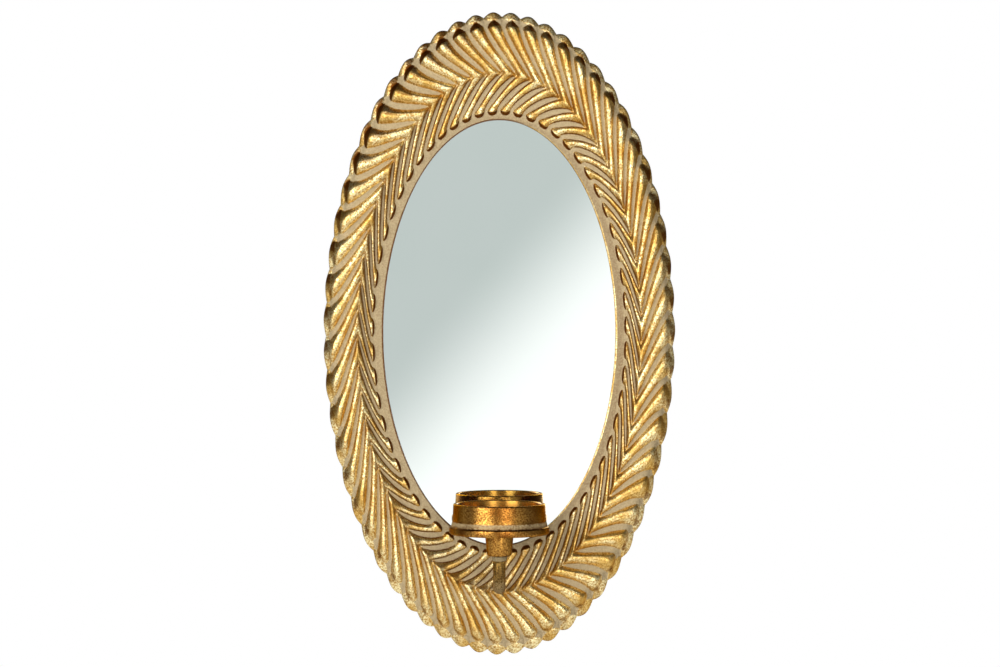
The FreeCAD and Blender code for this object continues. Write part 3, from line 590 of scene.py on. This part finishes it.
def glaze_and_shade_on_front(share, across, turn, angle, facing, gold):
    """How dark each place of the front is made: brown glazing with painted shade mixed in.

    On the gold, glazing adds up on the noses, the bulbs' ends, the upper left of the oval and the fans;
    the steep sides get glazing and painted shade both, and painted shade is added in the creases, on
    the clockwise half of each gadroon and on the noses near the top. On the ground, glazing lies beside
    the reeds, between the ribs at the spine and thinly over the lip, with painted shade added on the lip
    towards the right and on the sight edge's rounding at the left. None lies where the right-hand sight
    edge has its painted highlight.
    """
    wide = np.abs(across)
    reeds = 1.0 - ease(0.36, 0.46, share)
    down_nose = nose_run(share, across, turn, angle)
    nose = ease(0.0, 0.2, down_nose) * (1.0 - ease(0.9, 1.0, down_nose))
    bulb_end = (1.0 - ease(0.112, 0.152, share)) * ease(0.09, 0.10, share)
    shady_half = ease(0.0, 0.3, across) * (1.0 - ease(0.85, 1.05, across)) * (1.0 - reeds)
    upper_left = ease(0.80, 0.97, np.cos(angle - UPPER_LEFT_ANGLE)) * ease(0.50, 0.75, share)
    top = ease(-0.2, 0.8, np.cos(angle))
    # the sight edge's painted highlight on the right and its painted shade on the left
    bright, shaded_edge = sight_edges(share, angle)
    # steep sides: brown glazing plus painted shade where the surface turns away from the front
    on_gold = (1.0 - ease(0.30, 0.80, facing)) * (GLAZE_AND_SHADE_ON_SIDES + GLAZE_AND_SHADE_MORE_ON_REED_SIDES * reeds)
    # the noses' glazing, with painted shade added on the noses near the top
    on_gold += (GLAZE_ON_NOSES + PAINTED_SHADE_ON_TOP_NOSES * top) * nose
    # glazing on the bulbs' ends; painted shade in the creases
    on_gold += GLAZE_ON_BULB_ENDS * bulb_end + PAINTED_SHADE_IN_CREASES * crease(share, across)
    # painted shade on the clockwise half of each gadroon, and glazing at the upper left
    on_gold += PAINTED_SHADE_ON_CLOCKWISE_HALVES * shady_half + GLAZE_AT_UPPER_LEFT * upper_left
    on_gold += GLAZE_ON_FANS * on_fan(share, turn, angle)
    # no glazing and no painted shade where the right-hand sight edge has its painted highlight
    on_gold = np.minimum(on_gold * (1.0 - bright), 1.0) * ease(0.2, 0.7, gold)
    beside_reeds = ease(0.45, 0.92, wide) * (1.0 - ease(1.10, 1.50, wide))
    beside_reeds = beside_reeds * reeds * ease(0.10, 0.22, share)
    at_spine = on_spine(share) * ease(1.0, 1.25, wide)
    # thin glazing over the lip, with painted shade added towards the viewer's right
    lip = (GLAZE_ON_LIP + PAINTED_SHADE_ON_RIGHT_LIP * np.sin(angle)) * (1.0 - ease(0.08, 0.13, share))
    return np.maximum.reduce([
        on_gold, GLAZE_BESIDE_REEDS * beside_reeds, GLAZE_BETWEEN_RIBS_AT_SPINE * at_spine,
        lip * (1.0 - bright), PAINTED_SHADE_ON_LEFT_SIGHT_EDGE * shaded_edge,
    ])


def relief_frame():
    """The whole casting as one closed grid, each column on one line of a rib or a valley.

    The front's rows go from the sight edge to the rim, and the rows behind close it: the rim's
    wall, the flat back, the rebate and the sight edge's wall. The back and the rebate are unpainted.
    """
    share, across, turn, angle = gadroon_grid()
    half_width, half_height = front_outline(share, turn, angle)
    height = relief(share, across, turn, angle)
    front = on_oval(half_width, half_height, angle, 0.0, height)
    rim = (half_width[-1], half_height[-1], angle[-1])
    points = np.concatenate([front, rows_behind(rim, height[-1], angle[0])])
    rows, columns = points.shape[:2]
    piece = make_piece("relief_frame", points, grid_faces(rows, columns, True, True), "frame", CAST)
    piece.data.materials.append(RAW_CAST)
    first_unpainted = len(front) + RIM_WALL_ROWS - 1
    row_of_face = np.repeat(np.arange(rows), columns)
    unpainted = (row_of_face >= first_unpainted) & (row_of_face < first_unpainted + UNPAINTED_STRIPS)
    piece.data.polygons.foreach_set("material_index", unpainted.astype(np.int32))

    gild = np.zeros((rows, columns))
    glaze_and_shade = np.zeros((rows, columns))
    facing = np.abs(grid_normals(points, True, True)[: len(front), :, 1])
    gild[: len(front)] = gold_on_front(share, across, turn, angle)
    gild[len(front): len(front) + RIM_WALL_ROWS] = gild[len(front) - 1]
    glaze_and_shade[: len(front)] = glaze_and_shade_on_front(share, across, turn, angle, facing, gild[: len(front)])
    # the sight edge's wall is made fully dark: a painted shadow along the glass
    glaze_and_shade[-SIGHT_WALL_ROWS:] = 1.0
    set_attribute(piece, "gild", gild)
    set_attribute(piece, "glaze_and_shade", glaze_and_shade)
    drill(piece, "nut_pocket", (0.0, ARM_LEVEL), NUT_POCKET_RADIUS, BACK + NUT_POCKET_DEPTH)
    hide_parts("frame_moulding")


def drill(piece, name, centre, radius, depth, segments=64):
    """Cut a round pocket from the wall side into the piece, as deep as depth from the wall plane."""
    angle = np.arange(segments) * 2 * math.pi / segments
    ring = np.stack([centre[0] + radius * np.cos(angle), 0 * angle, centre[1] + radius * np.sin(angle)],
                    axis=1)
    ends = [ring + (0, 1 * MM, 0), ring - (0, depth, 0)]
    here = np.arange(segments)
    after = (here + 1) % segments
    sides = np.stack([here, after, after + segments, here + segments], axis=1)
    faces = [list(here[::-1]), list(here + segments)] + sides.tolist()
    mesh = bpy.data.meshes.new(name)
    mesh.from_pydata(np.concatenate(ends), [], faces)
    for material in piece.data.materials:
        mesh.materials.append(material)
    mesh.polygons.foreach_set("material_index", np.ones(len(faces), dtype=np.int32))
    cutter = bpy.data.objects.new(name, mesh)
    bpy.context.scene.collection.objects.link(cutter)
    cut = piece.modifiers.new(name, "BOOLEAN")
    cut.operation, cut.solver, cut.object = "DIFFERENCE", "MANIFOLD", cutter
    depsgraph = bpy.context.evaluated_depsgraph_get()
    drilled = bpy.data.meshes.new_from_object(piece.evaluated_get(depsgraph))
    piece.modifiers.clear()
    drilled.name = piece.data.name
    piece.data = drilled
    bpy.data.objects.remove(cutter)


# ---------------------------------------------------------------- turned pieces, profiles in mm
CUP_Y = sum(corner.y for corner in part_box("candle_cup")) / 2
CUP_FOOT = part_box("candle_cup")[0].z
BOSS_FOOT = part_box("cup_boss")[0].z
FLANGE_RADIUS = 30.5
CUP_RIM_RADIUS = 27.95
CUP_BORE_RADIUS = 25.65
CUP_HEIGHT = 18.4
CUP_FLOOR = 3.0
SCREW_HOLE_RADIUS = 1.6
COUNTERSINK_RADIUS = 3.05
BOSS_HEIGHT = 13.4
BOSS_BORE_RADIUS = 2.55
TURNED_SEGMENTS = 128
AROUND = np.arange(TURNED_SEGMENTS) * 2 * math.pi / TURNED_SEGMENTS


def rounded_profile(corners, steps=7):
    """A closed line of (radius, height, rounding) corners, each turned into a circular arc.

    The arc touches both runs at rounding / tan(half the angle between them) from the corner.
    """
    points = []
    for i, (r, z, rounding) in enumerate(corners):
        here = np.array((r, z))
        before = np.array(corners[i - 1][:2]) - here
        after = np.array(corners[(i + 1) % len(corners)][:2]) - here
        before, after = before / np.linalg.norm(before), after / np.linalg.norm(after)
        half = math.acos(np.clip(before @ after, -1, 1)) / 2
        if rounding == 0:
            points.append(here)
            continue
        bisector = (before + after) / np.linalg.norm(before + after)
        centre = here + bisector * rounding / math.sin(half)
        start, end = here + before * rounding / math.tan(half), here + after * rounding / math.tan(half)
        first, last = start - centre, end - centre
        mix = np.linspace(0.0, 1.0, steps)
        spread = math.pi - 2 * half
        arc = (np.sin((1 - mix) * spread)[:, None] * first + np.sin(mix * spread)[:, None] * last)
        points.extend(centre + arc / math.sin(spread))
    return np.array(points) * MM


def turned(name, profile, foot_z, gild, glaze_and_shade):
    """A profile of (radius, height) turned about the cup's upright axis, starting at the front.

    Gild and glaze are given by height, or by height and angle.
    """
    radius, height = profile[:, 0][:, None], profile[:, 1][:, None]
    points = np.stack([radius * np.sin(AROUND), CUP_Y - radius * np.cos(AROUND),
                       height + foot_z + 0 * AROUND], axis=2)
    faces = grid_faces(len(profile), TURNED_SEGMENTS, True, True)
    piece = make_piece(name, points, faces, "frame", SPUN)
    for key, value in (("gild", gild), ("glaze_and_shade", glaze_and_shade)):
        by_height = value.reshape(len(profile), -1)
        set_attribute(piece, key, np.broadcast_to(by_height, (len(profile), TURNED_SEGMENTS)))
    return piece


def candle_cup():
    """The cup's wall flares down into a cream cove over a rounded flange; the floor is countersunk.

    The four corners without rounding on the wall only carry the fade of the gold above the cove.
    The wall is made darker in a band just above the flange. Painted shade lies on the two sides
    that face the mirror and on the flange's ends, and a painted dark reflection in two upright
    bands between those sides and the front.
    """
    profile = rounded_profile([
        (SCREW_HOLE_RADIUS, 0.0, 0.0), (FLANGE_RADIUS, 0.0, 1.4), (FLANGE_RADIUS, 4.4, 1.2),
        (29.3, 4.7, 0.15), (28.65, 7.2, 1.5),
        (28.36, 8.6, 0.0), (28.31, 9.6, 0.0), (28.27, 10.6, 0.0), (28.22, 11.8, 0.0),
        (CUP_RIM_RADIUS, CUP_HEIGHT, 0.9), (CUP_BORE_RADIUS, CUP_HEIGHT, 0.7),
        (CUP_BORE_RADIUS, CUP_FLOOR, 1.5), (COUNTERSINK_RADIUS, CUP_FLOOR, 0.0),
        (SCREW_HOLE_RADIUS, 1.3, 0.0),
    ])
    height, radius = profile[:, 1] / MM, profile[:, 0] / MM
    outside = radius > CUP_RIM_RADIUS - 0.05
    cove = outside * ease(4.5, 5.0, height) * (1 - ease(5.2, 10.5, height))
    gild = 1.0 - 0.84 * cove
    aside = np.abs(np.sin(AROUND))
    above_flange = 0.70 * outside * (1 - ease(0.2, 0.9, np.abs(height - 4.3)))
    # painted shade on the two sides that face the mirror
    behind = ease(-0.15, 0.2, -np.cos(AROUND)) * ease(0.35, 0.62, aside)
    # a painted dark reflection in two upright bands between those sides and the front
    dark_reflection_streaks = 0.40 * np.exp(-((aside - 0.62) / 0.14) ** 2)
    # painted shade on the flange's ends
    shaded_flange_ends = (outside * (1 - ease(3.6, 4.2, height)))[:, None] * 0.45 * ease(0.45, 0.8, aside)
    glaze_and_shade = np.maximum(above_flange[:, None], outside[:, None] * np.maximum(behind, dark_reflection_streaks))
    cup = turned("gilded_candle_cup", profile, CUP_FOOT, gild, np.maximum(glaze_and_shade, shaded_flange_ends))
    cup.data.materials.append(BRIGHT)
    in_bore = (radius < CUP_BORE_RADIUS + 0.25) & (height > CUP_FLOOR - 0.1)
    cup.data.polygons.foreach_set("material_index", np.repeat(in_bore.astype(np.int32), TURNED_SEGMENTS))
    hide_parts("candle_cup")


def cup_boss():
    """A tapered boss with eased edges, with painted shade at its foot and on the viewer's right."""
    profile = rounded_profile([
        (BOSS_BORE_RADIUS, 0.0, 0.0), (7.45, 0.0, 1.3), (8.75, BOSS_HEIGHT, 0.5),
        (BOSS_BORE_RADIUS, BOSS_HEIGHT, 0.0),
    ])
    gild = np.ones(len(profile))
    # painted shade at the boss's foot and on the viewer's right
    shade_at_foot = 0.6 * (1 - ease(0.0, 1.2, profile[:, 1] / MM))
    shade_on_right = 0.45 * ease(0.25, 0.8, np.sin(AROUND))
    boss = turned("gilded_boss", profile, BOSS_FOOT, gild, shade_at_foot[:, None] + shade_on_right)
    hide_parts("cup_boss")


BAR_RADIUS = 3.75
BAR_BEND = 12.0
BAR_SEGMENTS = 48
SHANK_RADIUS = 2.5
SHANK_SEAT = 15.0
COLLAR_RADIUS = 4.4
TAPPED_RADIUS = 1.55
TAPPED_DEPTH = 12.0


def candle_arm():
    """Round bar swept out of the frame, through a quarter bend and up into the boss.

    The path runs level, turns through the bend's arc and goes on upright; each row is a circle
    square to it, its radius stepping from the shank to the bar, the shoulder and the spigot, which
    is drilled down its middle for the cup's screw. The collar is cream, with no gold left on it.
    """
    arm_level = ARM_LEVEL / MM
    back = -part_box("candle_arm")[1].y / MM
    level_run = -CUP_Y / MM - BAR_BEND - back
    arc_run = BAR_BEND * math.pi / 2
    riser = CUP_FOOT / MM - arm_level - BAR_BEND
    top = level_run + arc_run + riser
    shoulder = top - BOSS_HEIGHT - CUP_FLOOR
    seat = SHANK_SEAT - back
    rows = [(0.0, 0.0), (0.0, 2.3), (0.3, SHANK_RADIUS), (seat, SHANK_RADIUS), (seat, BAR_RADIUS)]
    rows += [(distance, BAR_RADIUS) for distance in np.linspace(seat + 1, level_run, 6)]
    rows += [(distance, BAR_RADIUS) for distance in np.linspace(level_run, level_run + arc_run, 18)[1:]]
    rows += [(distance, BAR_RADIUS) for distance in np.linspace(level_run + arc_run, shoulder - 1.2, 5)[1:]]
    rows += [(shoulder - 0.5, 3.85), (shoulder + 0.1, 4.15), (shoulder + 0.7, COLLAR_RADIUS)]
    rows += [(shoulder + 2.2, COLLAR_RADIUS), (shoulder + 2.7, 4.25), (shoulder + 3.0, 3.9)]
    rows += [(shoulder + 3.0, SHANK_RADIUS), (top, SHANK_RADIUS), (top, TAPPED_RADIUS)]
    rows += [(top - TAPPED_DEPTH, TAPPED_RADIUS), (top - TAPPED_DEPTH, 0.0)]
    distance, radius = np.array(rows).T
    turned_by = np.clip((distance - level_run) / BAR_BEND, 0.0, math.pi / 2)
    along = np.minimum(distance, level_run) + BAR_BEND * np.sin(turned_by)
    up = BAR_BEND * (1.0 - np.cos(turned_by)) + np.maximum(distance - level_run - arc_run, 0.0)
    centre = np.stack([0 * along, -back - along, arm_level + up], axis=1)[:, None, :]
    angle = np.arange(BAR_SEGMENTS) * 2 * math.pi / BAR_SEGMENTS
    sideways = np.stack([np.sin(angle), 0 * angle, 0 * angle], axis=1)[None]
    outwards = np.cos(angle)[None, :, None] * np.stack(
        [0 * turned_by, np.sin(turned_by), np.cos(turned_by)], axis=1)[:, None, :]
    points = (centre + radius[:, None, None] * (sideways + outwards)) * MM
    faces = grid_faces(len(rows), BAR_SEGMENTS, False, True)
    arm = make_piece("gilded_arm", points, faces, "frame", WORN)
    below_collar = 1 - ease(shoulder - 0.2, shoulder + 0.6, distance)
    up_riser = ease(level_run + 0.4 * arc_run, level_run + arc_run + 5.0, distance)
    gild = (0.50 + 0.22 * up_riser) * below_collar
    glaze_and_shade = 0.26 * up_riser * below_collar
    set_attribute(arm, "gild", np.repeat(gild[:, None], BAR_SEGMENTS, axis=1))
    set_attribute(arm, "glaze_and_shade", np.repeat(glaze_and_shade[:, None], BAR_SEGMENTS, axis=1))
    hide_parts("candle_arm")


# ---------------------------------------------------------------- finishes of the CAD nodes
def dress(material, *nodes):
    """Give CAD nodes one finish."""
    for node in nodes:
        mesh = frame["nodes"][node].data
        mesh.materials.clear()
        mesh.materials.append(material)


def dress_nodes():
    """Finishes of the glass and of the fixings behind it.

    The grain of each metal is drawn coarser than the real one, so that it shows.
    """
    # rolled sheet, stamped and lacquered: bright, with a faint grain along its length
    brass = plain_finish("lacquered_sheet_brass", "#b08a3e", "#c9a456", 1.0, 0.3, 1.2, (1, 1, 0.12))
    # wire drawn through a die: brighter, with fine lines along it
    wire = plain_finish("drawn_brass_wire", "#b58f42", "#cfa95a", 1.0, 0.26, 0.8, (1, 1, 0.2))
    # heads turned on a lathe: even small glints
    screws = plain_finish("turned_brass_screw", "#b48d40", "#c79f50", 1.0, 0.3, 0.4)
    # zinc plating: a cold grey with soft spangles
    zinc = plain_finish("zinc_plated_steel", "#9a9c9c", "#b9bcbd", 1.0, 0.34, 0.9)
    # wood fibres pressed hot: smooth dark brown, flecked
    board = plain_finish("tempered_hardboard", "#5a3d24", "#735233", 0.0, 0.55, 0.7, depth_mm=0.1)
    # pulp rolled into card: matt grey brown, flecked
    card = plain_finish("grey_pulp_card", "#8b8170", "#a09684", 0.0, 0.9, 0.5)
    # moulded rubber: near black, with a dull sheen
    rubber = plain_finish("moulded_black_rubber", "#18181a", "#242426", 0.0, 0.6, 0.6)
    dress(silvered_glass(), "mirror_glass")
    dress(brass, "hanger_strap", "turn_button_1", "turn_button_2", "turn_button_3", "turn_button_4")
    dress(wire, "hanger_ring")
    dress(screws, "hanger_screws", "turn_button_screws")
    dress(zinc, "arm_washer", "arm_nut", "cup_screw")
    dress(board, "backing_board")
    dress(card, "backing_card")
    dress(rubber, "wall_bumpers")


# ---------------------------------------------------------------- studio
FLOOR_DROP = 0.62
FLOOR_RADIUS = 1.45
FLOOR_SEGMENTS = 96
SHADOW_REACH = 0.45
WHITE_REACH = 1.3
CARD_HALF_WIDTH = 0.40
CARD_HALF_HEIGHT = 0.62
CARD_DISTANCE = 3.2
CAMERA_DISTANCE = 1.508
CAMERA_HEIGHT = OVAL_Z + 12.8 * MM
CAMERA_ASIDE = 0.4 * MM
AIM_BELOW_CENTRE = 0.6 * MM
FOCAL_PIXELS = 2404.0
IMAGE_WIDTH = 1000.0
SENSOR_WIDTH = 36.0
# each lamp's name, place, width, height and power in watts
SOFTBOXES = (
    ("left_softbox", (-0.95, -1.35, 0.25), 0.9, 1.2, 20.0),
    ("right_softbox", (0.48, -1.60, 0.05), 0.45, 1.2, 9.5),
    ("back_softbox", (0.5, 1.40, 0.45), 1.2, 1.2, 16.0),
)


def floor_material():
    """Matt white paper: it takes the object's shadow near the middle and is plain white further out."""
    material, tree = new_tree("white_paper_sweep")
    place = add(tree, "ShaderNodeTexCoord").outputs["Object"]
    away = add(tree, "ShaderNodeVectorMath", {0: place}, operation="LENGTH").outputs["Value"]
    far = add(tree, "ShaderNodeMapRange", {
        "Value": away, "From Min": SHADOW_REACH, "From Max": WHITE_REACH, "To Min": 0.6, "To Max": 1.0,
    }, interpolation_type="SMOOTHSTEP").outputs[0]
    paper = add(tree, "ShaderNodeBsdfDiffuse", {"Color": linear("#f4f4f2")}).outputs[0]
    white = add(tree, "ShaderNodeEmission", {"Color": (1, 1, 1, 1), "Strength": 1.0}).outputs[0]
    ray = add(tree, "ShaderNodeLightPath").outputs
    seen = add(tree, "ShaderNodeMath", {0: ray["Is Camera Ray"], 1: ray["Is Transmission Ray"]},
               operation="MAXIMUM").outputs[0]
    away_white = add(tree, "ShaderNodeMath", {0: far, 1: seen}, operation="MULTIPLY").outputs[0]
    mirrored = add(tree, "ShaderNodeMath", {0: ray["Is Glossy Ray"], 1: 0.85}, operation="MULTIPLY")
    fade = add(tree, "ShaderNodeMath", {0: away_white, 1: mirrored.outputs[0]},
               operation="MAXIMUM").outputs[0]
    mixed = add(tree, "ShaderNodeMixShader", {0: fade, 1: paper, 2: white}).outputs[0]
    add(tree, "ShaderNodeOutputMaterial", {"Surface": mixed})
    return material


def floor():
    """A round sheet of paper well below the mirror."""
    angle = np.arange(FLOOR_SEGMENTS) * 2 * math.pi / FLOOR_SEGMENTS
    rim = np.stack([FLOOR_RADIUS * np.sin(angle), FLOOR_RADIUS * np.cos(angle), 0 * angle], axis=1)
    mesh = bpy.data.meshes.new("studio_floor")
    mesh.from_pydata(rim, [], [list(range(FLOOR_SEGMENTS))[::-1]])
    mesh.materials.append(floor_material())
    disc = bpy.data.objects.new("studio_floor", mesh)
    disc.location = (0, 0, -FLOOR_DROP)
    bpy.context.scene.collection.objects.link(disc)


def world():
    """White where the camera looks past the object, and else a dim room.

    The room is brighter low down than overhead, brightest behind the camera and bright at both
    sides. Reflected and transmitted rays also see it half way to white behind the object.
    """
    studio = bpy.data.worlds.new("studio")
    bpy.context.scene.world = studio
    studio.use_nodes = True
    tree = studio.node_tree
    tree.nodes.clear()
    way = add(tree, "ShaderNodeSeparateXYZ", {0: add(tree, "ShaderNodeTexCoord").outputs["Generated"]})
    up = add(tree, "ShaderNodeMapRange", {
        "Value": way.outputs["Z"], "From Min": -0.2, "From Max": 0.55, "To Min": 0.52, "To Max": 0.11,
    }, interpolation_type="SMOOTHSTEP").outputs[0]
    front = add(tree, "ShaderNodeMapRange", {
        "Value": way.outputs["Y"], "From Min": -0.3, "From Max": -0.9, "To Min": 0.15, "To Max": 1.25,
    }, interpolation_type="SMOOTHSTEP").outputs[0]
    left = add(tree, "ShaderNodeMapRange", {
        "Value": way.outputs["X"], "From Min": -0.25, "From Max": -0.95, "To Min": 0.0, "To Max": 0.55,
    }, interpolation_type="SMOOTHSTEP").outputs[0]
    right = add(tree, "ShaderNodeMapRange", {
        "Value": way.outputs["X"], "From Min": 0.20, "From Max": 0.90, "To Min": 0.0, "To Max": 0.50,
    }, interpolation_type="SMOOTHSTEP").outputs[0]
    sides = add(tree, "ShaderNodeMath", {0: left, 1: right}, operation="ADD").outputs[0]
    around = add(tree, "ShaderNodeMath", {0: front, 1: sides}, operation="ADD").outputs[0]
    room = add(tree, "ShaderNodeMath", {0: up, 1: around}, operation="MULTIPLY").outputs[0]
    behind = add(tree, "ShaderNodeMapRange", {
        "Value": way.outputs["Y"], "From Min": 0.6, "From Max": 0.9, "To Max": 0.5,
    }, interpolation_type="SMOOTHSTEP").outputs[0]
    ray = add(tree, "ShaderNodeLightPath").outputs
    bounced = add(tree, "ShaderNodeMath", {0: ray["Is Glossy Ray"], 1: ray["Is Transmission Ray"]},
                  operation="MAXIMUM").outputs[0]
    backdrop = add(tree, "ShaderNodeMath", {0: behind, 1: bounced}, operation="MULTIPLY").outputs[0]
    white = add(tree, "ShaderNodeMath", {0: ray["Is Camera Ray"], 1: backdrop},
                operation="MAXIMUM").outputs[0]
    room_tone = add(tree, "ShaderNodeMix", {0: white, 2: room, 3: 1.0}).outputs[0]
    lit = add(tree, "ShaderNodeBackground", {"Color": (1, 1, 1, 1), "Strength": room_tone}).outputs[0]
    add(tree, "ShaderNodeOutputWorld", {"Surface": lit})


def softbox(name, place, wide, high, power):
    """A rectangular lamp that faces the oval's centre."""
    lamp = bpy.data.lights.new(name, "AREA")
    lamp.shape = "RECTANGLE"
    lamp.size, lamp.size_y = wide, high
    lamp.energy = power
    box = bpy.data.objects.new(name, lamp)
    box.location = place
    box.rotation_euler = (Vector((0.0, 0.0, OVAL_Z)) - Vector(place)).to_track_quat("-Z", "Y").to_euler()
    box.visible_camera = False
    bpy.context.scene.collection.objects.link(box)


def studio_wall():
    """The wall behind the camera, seen only in the mirror: grey-green above left, white below right."""
    material, tree = new_tree("studio_wall_behind_camera")
    place = add(tree, "ShaderNodeTexCoord").outputs["Object"]
    slant = add(tree, "ShaderNodeVectorMath", {0: place, 1: (0.74, 0.0, -0.67)},
                operation="DOT_PRODUCT").outputs["Value"]
    mix = add(tree, "ShaderNodeMapRange", {"Value": slant, "From Min": -0.104, "From Max": 0.149},
              interpolation_type="SMOOTHSTEP").outputs[0]
    tone = add(tree, "ShaderNodeMix", {0: mix, 6: linear("#bec4c3"), 7: linear("#ffffff")},
               data_type="RGBA").outputs[2]
    glow = add(tree, "ShaderNodeEmission", {"Color": tone, "Strength": 1.15}).outputs[0]
    add(tree, "ShaderNodeOutputMaterial", {"Surface": glow})
    corners = [(-CARD_HALF_WIDTH, 0, -CARD_HALF_HEIGHT), (CARD_HALF_WIDTH, 0, -CARD_HALF_HEIGHT),
               (CARD_HALF_WIDTH, 0, CARD_HALF_HEIGHT), (-CARD_HALF_WIDTH, 0, CARD_HALF_HEIGHT)]
    mesh = bpy.data.meshes.new("studio_wall")
    mesh.from_pydata(corners, [], [(0, 1, 2, 3)])
    mesh.materials.append(material)
    card = bpy.data.objects.new("studio_wall", mesh)
    card.location = (0, -CARD_DISTANCE, OVAL_Z)
    card.visible_camera = False
    card.visible_diffuse = False
    card.visible_shadow = False
    bpy.context.scene.collection.objects.link(card)


def camera():
    """An almost level view of the oval from a little over its centre."""
    lens = bpy.data.cameras.new("camera")
    lens.sensor_width = SENSOR_WIDTH
    lens.lens = FOCAL_PIXELS / IMAGE_WIDTH * SENSOR_WIDTH
    view = bpy.data.objects.new("camera", lens)
    aim = Vector((CAMERA_ASIDE, 0.0, OVAL_Z - AIM_BELOW_CENTRE))
    view.location = (CAMERA_ASIDE, -CAMERA_DISTANCE, CAMERA_HEIGHT)
    view.rotation_euler = (aim - view.location).to_track_quat("-Z", "Y").to_euler()
    bpy.context.scene.collection.objects.link(view)
    bpy.context.scene.camera = view


camera()
relief_frame()
candle_cup()
cup_boss()
candle_arm()
dress_nodes()
floor()
studio_wall()
world()
for lamp_row in SOFTBOXES:
    softbox(*lamp_row)
bpy.context.scene.view_settings.view_transform = "Standard"
